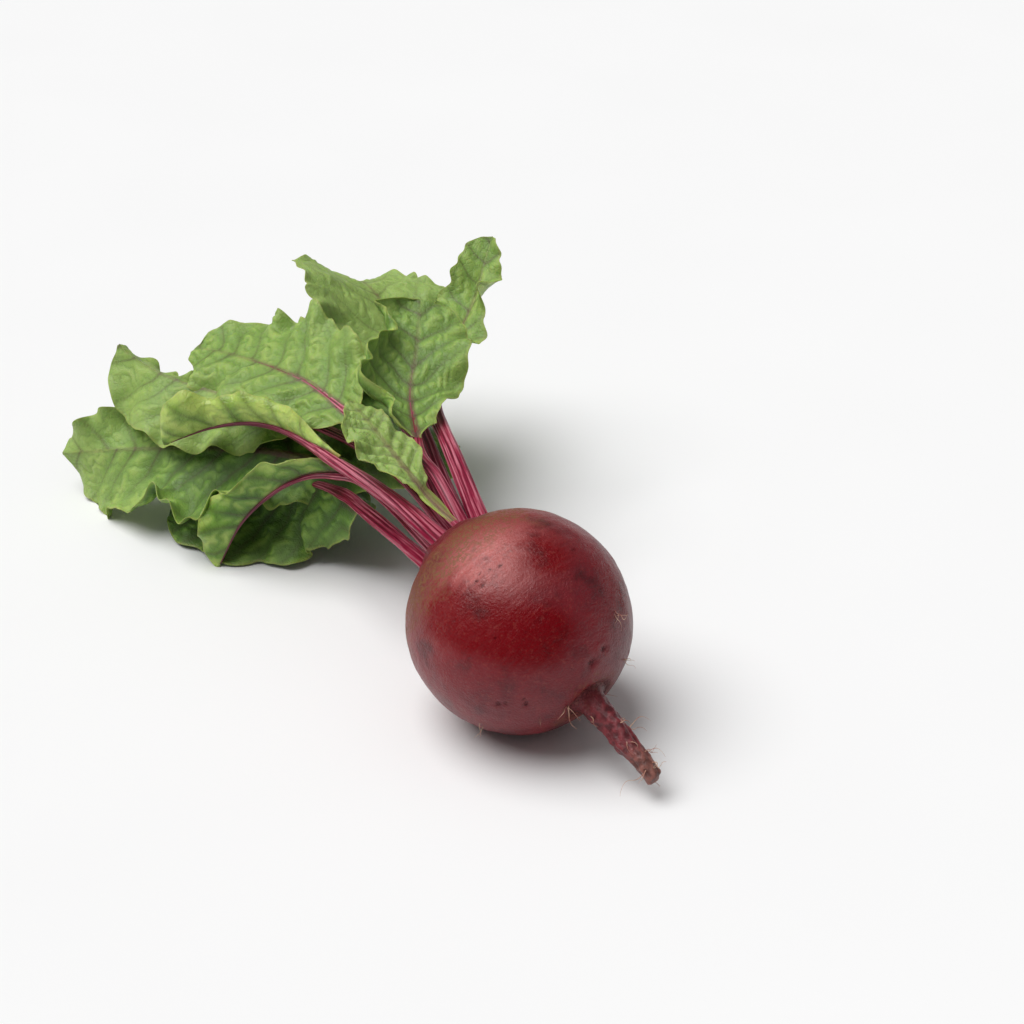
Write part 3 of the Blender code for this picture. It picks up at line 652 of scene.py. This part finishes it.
# Painted highlight on the rib crests and painted shade in the grooves between them.
rib = add(tree, "Attribute", {"attribute_name": "rib"}).outputs["Fac"]
level = add(tree, "Math", TIMES_PLUS, in0=rib, in1=0.22, in2=streaks).outputs[0]
tint = add(tree, "ValToRGB", Fac=level)
ramp = tint.color_ramp
ramp.elements[0].position, ramp.elements[1].position = 0.46, 0.75
ramp.elements[0].color, ramp.elements[1].color = linear("#46031A"), linear("#D48090")
middle = ramp.elements.new(0.60)
middle.color = linear("#92183C")
flush = add(tree, "Attribute", {"attribute_name": "flush"}).outputs["Fac"]
dull = add(tree, "MapRange", Value=flush, in1=0.0, in2=0.6, in3=0.75, in4=0.0).outputs[0]
near = add(tree, "Attribute", {"attribute_name": "near_crown"}).outputs["Fac"]
near = add(tree, "Math", TIMES, in0=near, in1=0.6).outputs[0]
midrib = add(tree, "Attribute", {"attribute_name": "midrib"}).outputs["Fac"]
midrib = add(tree, "MapRange", Value=midrib, in1=0.0, in2=0.6, in4=0.85).outputs[0]
colour = tint.outputs["Color"]
for amount, shade in ((dull, "#420A1A"), (near, "#86082E"), (midrib, "#5C2836")):
    colour = add(tree, "MixRGB", Fac=amount, Color1=colour, Color2=linear(shade)).outputs[0]
tree.links.new(colour, shader.inputs["Base Color"])
gloss = add(tree, "MapRange", Value=streaks, in1=0.3, in2=0.7, in3=0.26, in4=0.42).outputs[0]
tree.links.new(gloss, shader.inputs["Roughness"])
bump = add(tree, "Bump", Strength=0.4, Distance=0.3 * MM, Height=streaks).outputs[0]
tree.links.new(bump, shader.inputs["Normal"])

for number, (name, row) in enumerate(LEAVES.items()):
    points, faces, values = stalk_surface(row, number)
    stalk = mesh_piece(name + "_petiole", points, *faces, values, petiole)
    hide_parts(name + "_stalk")
    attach(stalk, "root")

# ---------------------------------------------------------------------------------------------
# Blades. The eleven leaf blades: thin green sheets with dark red veins, puffed up between them,
# with a wavy margin. Each grows out of both sides of its midrib, and is paler on its underside.

BLADE_THICKNESS = 0.45 * MM
BLADE_STEP = 0.62 * MM
SIDE_VEINS = 7  # on each side of the midrib, while their spacing is 5.5 to 14 mm
SMALL_VEIN_STEP = 0.62  # of the spacing of the side veins


def half_width(row, share, side):
    """The half blade's width by share, x: (x / w)^p times ((1 - x) / (1 - w))^q, where w is where it
    is widest, q the tip's power, over a half for a pointed tip, and p is q w / (1 - w)."""
    early = row.get("early", 0.05)
    share = (share + early) / (1 + early)
    widest = (row["widest"][side] + early) / (1 + early)
    tip_power = row.get("point", 0.5)
    base_power = tip_power * widest / (1 - widest)
    bulge = (np.maximum(share, 1e-4) / widest) ** base_power
    bulge = bulge * (np.maximum(1 - share, 0) / (1 - widest)) ** tip_power
    return row["width"][side] * MM * bulge


def nearest_gap(value, places):
    """How far each value is from the nearest of the sorted places, and the number of the next one."""
    after = np.clip(np.searchsorted(places, value), 1, len(places) - 1)
    return np.minimum(np.abs(value - places[after - 1]), np.abs(places[after] - value)), after


def vein_field(up_blade, outwards, length, spacing, seed):
    """Closeness, 0 to 1, to the side veins and to the small veins between them, and how far the flesh
    between stands up. A side vein leaves the midrib and curves towards the tip: its length up the
    blade is its start, plus 0.75 of its distance out, plus a bend that grows with the square. Small
    veins cross from one to the next."""
    random = np.random.default_rng(seed)
    starts = np.arange(-6, round(length / spacing) + 1) * spacing
    starts = starts + random.uniform(-0.22, 0.22, len(starts)) * spacing
    spot = np.stack([up_blade, outwards, np.zeros_like(up_blade) + seed * 0.013], axis=-1)
    wander = 0.9 * MM * ripple(spot, 19 * MM, seed, 2)
    reach = up_blade - 0.75 * outwards - 0.004 / MM * outwards ** 2 + wander
    gap, cell = nearest_gap(reach, starts)
    gap = gap * 0.78
    thickness = (0.26 + 0.34 * np.exp(-outwards / (11 * MM))) * MM
    side_vein = np.exp(-(gap / thickness) ** 2) * (0.30 + 0.70 * np.exp(-outwards / (13 * MM)))
    shift = random.uniform(0, 1, len(starts) + 1)[cell]
    cross = outwards * 1.35 / (SMALL_VEIN_STEP * spacing) + shift + 0.30 * ripple(spot, 8 * MM, seed + 50, 2)
    cross_gap = np.abs(cross - np.round(cross)) * SMALL_VEIN_STEP * spacing
    small_vein = np.exp(-(cross_gap / (0.42 * MM)) ** 2)
    puff = 1 - np.exp(-(gap / (0.24 * spacing)) ** 2)
    puff = puff * (1 - 0.7 * np.exp(-(cross_gap / (0.17 * spacing)) ** 2))
    return side_vein, small_vein, puff


def blade_sheet(row, seed):
    """The blade's middle surface on a grid of shares along it by shares out from its midrib. Each
    half leaves the midrib at its lift and turns by its curl: its points are the sums of small steps
    at the running angle. The margin's waves, the ruffle, the blisters and the veins then move each
    point along the normal."""
    _, reach, blade_start = leaf_line(row)
    length = reach[-1] - blade_start
    rows = max(60, round(length / BLADE_STEP))
    even = np.linspace(0, 1, rows)
    early = row.get("wing", row.get("early", 0.05))
    share = (1 + early) * 0.9995 * (even + 0.35 * even ** 6 * (1 - even)) - early
    along = blade_start + share * length
    centre, left, up, above, _ = leaf_frame(row, along)
    inside = np.clip(share, 0, 1)
    lifts = [parabola(np.radians(angles), inside) for angles in row["lift"]]
    girth = stalk_radius(row, along)
    spine = centre + (row.get("cover", 0.35) * girth)[:, None] * above
    height, count, phase = row["waves"]
    halves = []
    for side, sign in ((0, 1), (1, -1)):
        columns = max(16, round(row["width"][side] * MM / BLADE_STEP))
        u = np.linspace(0, 1, columns + 1)[None]
        uneven = 0.5 * ripple(centre + seed, 6.5 * MM, seed + 60 + side, 1)
        uneven = (uneven + 1.5 * ripple(centre + seed, 24 * MM, seed + side, 3)) * MM
        broad = half_width(row, share, side)
        broad = broad + uneven * smooth(broad, 2 * MM, 9 * MM)
        width = broad * smooth(share, -early, 0.12 - early) + 0.9 * girth
        if "wing" in row:
            width = width + 2.0 * MM * smooth(share, -early, -0.35 * early) * smooth(-share, -0.15, 0.0)
        width = (width * (1 - smooth(share, 0.985, 1.0) * 0.6))[:, None]
        curl = parabola(np.radians(row["curl"][side]), inside)[:, None]
        middle = (u[:, 1:] + u[:, :-1]) / 2
        angle = lifts[side][:, None] + curl * middle ** 2
        step = np.cos(angle)[..., None] * left[:, None] * sign + np.sin(angle)[..., None] * up[:, None]
        run = np.cumsum(step, axis=1) * (width / columns)[..., None]
        run = np.concatenate([np.zeros((rows, 1, 3)), run], axis=1)
        angle = lifts[side][:, None] + curl * u ** 2
        normal = np.cos(angle)[..., None] * up[:, None] - np.sin(angle)[..., None] * left[:, None] * sign
        outwards = u * width
        up_blade = (inside * length)[:, None] * np.ones_like(u)
        spacing = max(5.5, min(14, length / MM / SIDE_VEINS)) * MM
        side_vein, small_vein, puff = vein_field(up_blade, outwards, length, spacing, 7 * seed + side)
        slim = width / (row["width"][side] * MM)
        swing = np.sin(math.tau * (count * inside[:, None] + phase + 0.5 * side))
        wave = height * MM * slim * swing * u ** 1.6
        spot = np.stack([up_blade, outwards * 0.4, np.full_like(up_blade, seed * 0.05 + side)], axis=-1)
        ruffle = u ** 2.2 * ripple(spot, 17 * MM, seed + 20 + side, 2)
        ruffle = ruffle + 0.6 * u * ripple(spot, 31 * MM, seed + 40 + side, 1)
        frill = row.get("frill", 0.8) * u ** 6 * smooth(slim, 0.1, 0.5)
        frill = frill * ripple(spot, 7.5 * MM, seed + 80 + side, 1)
        ruffle = (row["ruffle"] * slim * ruffle + frill) * MM
        flesh = row["blister"] * MM * (puff - 0.35) * smooth(outwards, 0, 4 * MM) * (1 - 0.5 * u ** 4)
        move = wave + ruffle + flesh - 0.22 * MM * side_vein - 0.08 * MM * small_vein
        points = spine[:, None] + run + normal * move[..., None]
        rim = smooth(outwards, width - 1.1 * MM, width - 0.2 * MM)
        by_midrib = np.exp(-((outwards - 0.8 * girth[:, None]).clip(0) / (0.45 * MM)) ** 2)
        by_midrib = by_midrib * (1 - 0.8 * inside[:, None])
        values = dict(side_vein=side_vein, small_vein=small_vein, puff=puff, rim=rim,
                      outward=u * np.ones_like(up_blade), by_midrib=by_midrib)
        halves.append((points, values))
    points = np.concatenate([halves[0][0][:, ::-1], halves[1][0][:, 1:]], axis=1)
    values = {key: np.concatenate([halves[0][1][key][:, ::-1], halves[1][1][key][:, 1:]], axis=1)
              for key in halves[0][1]}
    low, high = row["tone"]
    tone = low + (high - low) * inside[:, None] ** 2 + 0.35 * values.pop("outward") ** 3
    values["tone"] = np.clip(tone, 0, 1.2)
    values["basal"] = smooth(-share, -0.05, 0.08)[:, None] * np.ones_like(values["rim"])
    return points, values


def blade_shell(sheet, values):
    """A closed sheet: the middle surface moved out by half the thickness along its normal both ways,
    the underside farther along the veins, and the four borders joined."""
    rows, columns = sheet.shape[:2]
    normal = np.cross(np.gradient(sheet, axis=0), np.gradient(sheet, axis=1))
    normal /= np.linalg.norm(normal, axis=-1, keepdims=True) + 1e-12
    thin = 0.5 * BLADE_THICKNESS * (1 - 0.45 * values["rim"])[..., None]
    ridge = (0.35 * MM * values["side_vein"] + 0.12 * MM * values["small_vein"])[..., None]
    top, bottom = sheet + normal * thin, sheet - normal * (thin + ridge)
    points = np.vstack([top.reshape(-1, 3), bottom.reshape(-1, 3)])
    points[:, 2] = np.maximum(points[:, 2], 0.15 * MM)
    at = np.arange(rows * columns).reshape(rows, columns)
    corners = [at[:-1, :-1], at[1:, :-1], at[1:, 1:], at[:-1, 1:]]
    upper = np.stack(corners, axis=-1).reshape(-1, 4)
    lower = np.stack(corners[::-1], axis=-1).reshape(-1, 4) + rows * columns
    border = np.concatenate([at[:-1, 0], at[-1, :-1], at[:0:-1, -1], at[0, :0:-1]])
    after = np.roll(border, -1)
    rim = np.stack([border, border + rows * columns, after + rows * columns, after], axis=-1)
    flat = {key: np.concatenate([value.ravel(), value.ravel()]) for key, value in values.items()}
    flat["under"] = np.concatenate([np.zeros(rows * columns), np.ones(rows * columns)])
    return points, np.vstack([upper, lower, rim]), flat


# Beet leaf: a thin living sheet under a satin cuticle. Chlorophyll green, with painted shade along the
# veins' sides and painted light on the puffs between them, paler on the underside, its veins dark red,
# its margin edged yellow-brown, which is partly painted highlight.
blade_green, tree, shader = new_material("beet_leaf_blade", IOR=1.42, Metallic=0.0, Specular_IOR_Level=0.5,
                                         Subsurface_Weight=0.30, Subsurface_Radius=(0.45, 1.0, 0.12),
                                         Subsurface_Scale=1.1 * MM)
place = add(tree, "TexCoord").outputs["Object"]
patches = add(tree, "TexNoise", Vector=place, Scale=1 / (15 * MM), Detail=6.0, Roughness=0.62).outputs["Fac"]
# tone: each leaf's age colour, set lower on leaves in shade and higher on lit ones as painted shade and
# light.
tone = add(tree, "Attribute", {"attribute_name": "tone"}).outputs["Fac"]
puff = add(tree, "Attribute", {"attribute_name": "puff"}).outputs["Fac"]
light = add(tree, "Math", TIMES_PLUS, in0=tone, in1=0.55, in2=-0.22).outputs[0]
light = add(tree, "Math", TIMES_PLUS, in0=patches, in1=0.72, in2=light).outputs[0]
# Painted light and shade: the puffs between the veins lighter, the valleys along the veins darker.
light = add(tree, "Math", TIMES_PLUS, in0=puff, in1=0.44, in2=light).outputs[0]
tint = add(tree, "ValToRGB", Fac=light)
ramp = tint.color_ramp
ramp.elements[0].position, ramp.elements[1].position = 0.10, 1.0
ramp.elements[0].color, ramp.elements[1].color = linear("#1A380E"), linear("#B8CC6A")
for position, shade in ((0.36, "#3E6818"), (0.60, "#72983A")):
    ramp.elements.new(position).color = linear(shade)
basal = add(tree, "Attribute", {"attribute_name": "basal"}).outputs["Fac"]
basal = add(tree, "Math", TIMES, in0=basal, in1=tone).outputs[0]
basal = add(tree, "MapRange", Value=basal, in1=0.7, in2=1.0).outputs[0]
under = add(tree, "Attribute", {"attribute_name": "under"}).outputs["Fac"]
# The paler underside is dimmed with the tone, so that it carries the painted shade of shaded leaves too.
pale = add(tree, "Math", TIMES_PLUS, in0=tone, in1=0.65, in2=0.12).outputs[0]
pale = add(tree, "Math", TIMES, in0=under, in1=pale).outputs[0]
net = add(tree, "TexVoronoi", {"feature": "DISTANCE_TO_EDGE"}, Vector=place,
          Scale=1 / (2.2 * MM)).outputs["Distance"]
net = add(tree, "MapRange", Value=net, in1=0.0, in2=0.12, in3=1.0, in4=0.0).outputs[0]
meshed = add(tree, "Math", TIMES, in0=net, in1=0.07).outputs[0]
colour = tint.outputs["Color"]
for amount, shade in ((basal, "#C0C428"), (pale, "#94AE60"), (meshed, "#28401A")):
    colour = add(tree, "MixRGB", Fac=amount, Color1=colour, Color2=linear(shade)).outputs[0]
# The rim's light colour is partly the margin's own yellow-brown and partly painted highlight along it.
for zone, share, shade in (("small_vein", 0.20, "#364018"), ("side_vein", 0.52, "#4E2030"),
                           ("by_midrib", 0.60, "#6E3046"), ("rim", 0.45, "#AAAC5C")):
    amount = add(tree, "Attribute", {"attribute_name": zone}).outputs["Fac"]
    amount = add(tree, "Math", TIMES, in0=amount, in1=share).outputs[0]
    colour = add(tree, "MixRGB", Fac=amount, Color1=colour, Color2=linear(shade)).outputs[0]
tree.links.new(colour, shader.inputs["Base Color"])
gloss = add(tree, "MapRange", Value=patches, in1=0.3, in2=0.7, in3=0.32, in4=0.44).outputs[0]
gloss = add(tree, "Math", TIMES_PLUS, in0=under, in1=0.14, in2=gloss).outputs[0]
tree.links.new(gloss, shader.inputs["Roughness"])
cells = add(tree, "TexNoise", Vector=place, Scale=1 / (1.5 * MM), Detail=3.0, Roughness=0.6).outputs["Fac"]
cells = add(tree, "Math", TIMES_PLUS, in0=net, in1=-0.3, in2=cells).outputs[0]
bump = add(tree, "Bump", Strength=0.7, Distance=0.42 * MM, Height=cells).outputs[0]
tree.links.new(bump, shader.inputs["Normal"])

for number, (name, row) in enumerate(LEAVES.items()):
    sheet, values = blade_sheet(row, number + 1)
    points, quads, values = blade_shell(sheet, values)
    blade = mesh_piece(name + "_lamina", points, quads, np.zeros((0, 3), int), values, blade_green)
    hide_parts(name + "_blade")
    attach(blade, "root")

# ---------------------------------------------------------------------------------------------
# Studio. A wide floor of matt white board, a soft light high on the left from a large diffuser, and
# the camera. They stand round the object, and aren't part of it.

FLOOR_REACH = 8.0
CAMERA_DISTANCE = 0.7495
HALF_VIEW = math.radians(14)
FILM_WIDTH = 36.0  # in the millimetres that the lens is given in

floor_paint, tree, shader = new_material("matt_white_board", Roughness=0.9, Metallic=0.0,
                                         Specular_IOR_Level=0.2)
place = add(tree, "TexCoord").outputs["Object"]
tooth = add(tree, "TexNoise", Vector=place, Scale=1 / (120 * MM), Detail=1.0).outputs["Fac"]
tint = add(tree, "ValToRGB", Fac=tooth)
dark, light = tint.color_ramp.elements
dark.color, light.color = linear("#F4F4F4"), linear("#F7F7F7")
tree.links.new(tint.outputs["Color"], shader.inputs["Base Color"])
floor = mesh_piece("floor", np.array([(-1, -1, 0), (1, -1, 0), (1, 1, 0), (-1, 1, 0)]) * FLOOR_REACH,
                   np.array([[0, 1, 2, 3]]), np.zeros((0, 3), int), {}, floor_paint)

middle_of_box = (Vector(cad_box[0]) + Vector(cad_box[1])) / 2
aim = middle_of_box + Vector((0.0350, -0.0006, -0.0068))
view = Vector((-0.6436, 0.5795, -0.5)).normalized()
camera_data = bpy.data.cameras.new("camera")
camera_data.sensor_width = FILM_WIDTH
camera_data.lens = FILM_WIDTH / 2 / math.tan(HALF_VIEW)
camera = bpy.data.objects.new("camera", camera_data)
camera.location = aim - view * CAMERA_DISTANCE
camera.rotation_euler = view.to_track_quat("-Z", "Y").to_euler()
bpy.context.scene.collection.objects.link(camera)
bpy.context.scene.camera = camera

# The key is a large round diffuser, high on the left, far enough to light the floor evenly.
key_data = bpy.data.lights.new("key", "SUN")
key_data.energy = 2.72
key_data.angle = math.radians(50)
key = bpy.data.objects.new("key", key_data)
key.rotation_euler = Vector((0.26, 0.34, -0.90)).to_track_quat("-Z", "Y").to_euler()
bpy.context.scene.collection.objects.link(key)

# The room is dim but for its ceiling, so that the skin shows its own red, and its backdrop is the
# floor's white.
world = bpy.data.worlds.new("studio_room")
world.use_nodes = True
room = world.node_tree
way = add(room, "SeparateXYZ", Vector=add(room, "TexCoord").outputs["Generated"]).outputs["Z"]
glow = add(room, "MapRange", Value=way, in1=0.35, in2=1.0, in3=0.08, in4=0.43).outputs[0]
ray = add(room, "LightPath").outputs["Is Camera Ray"]
level = add(room, "MapRange", Value=ray, in3=glow, in4=0.92).outputs[0]
room.nodes["Background"].inputs["Color"].default_value = (1.0, 1.0, 1.0, 1.0)
room.links.new(level, room.nodes["Background"].inputs["Strength"])
bpy.context.scene.world = world
bpy.context.scene.view_settings.view_transform = "Standard"
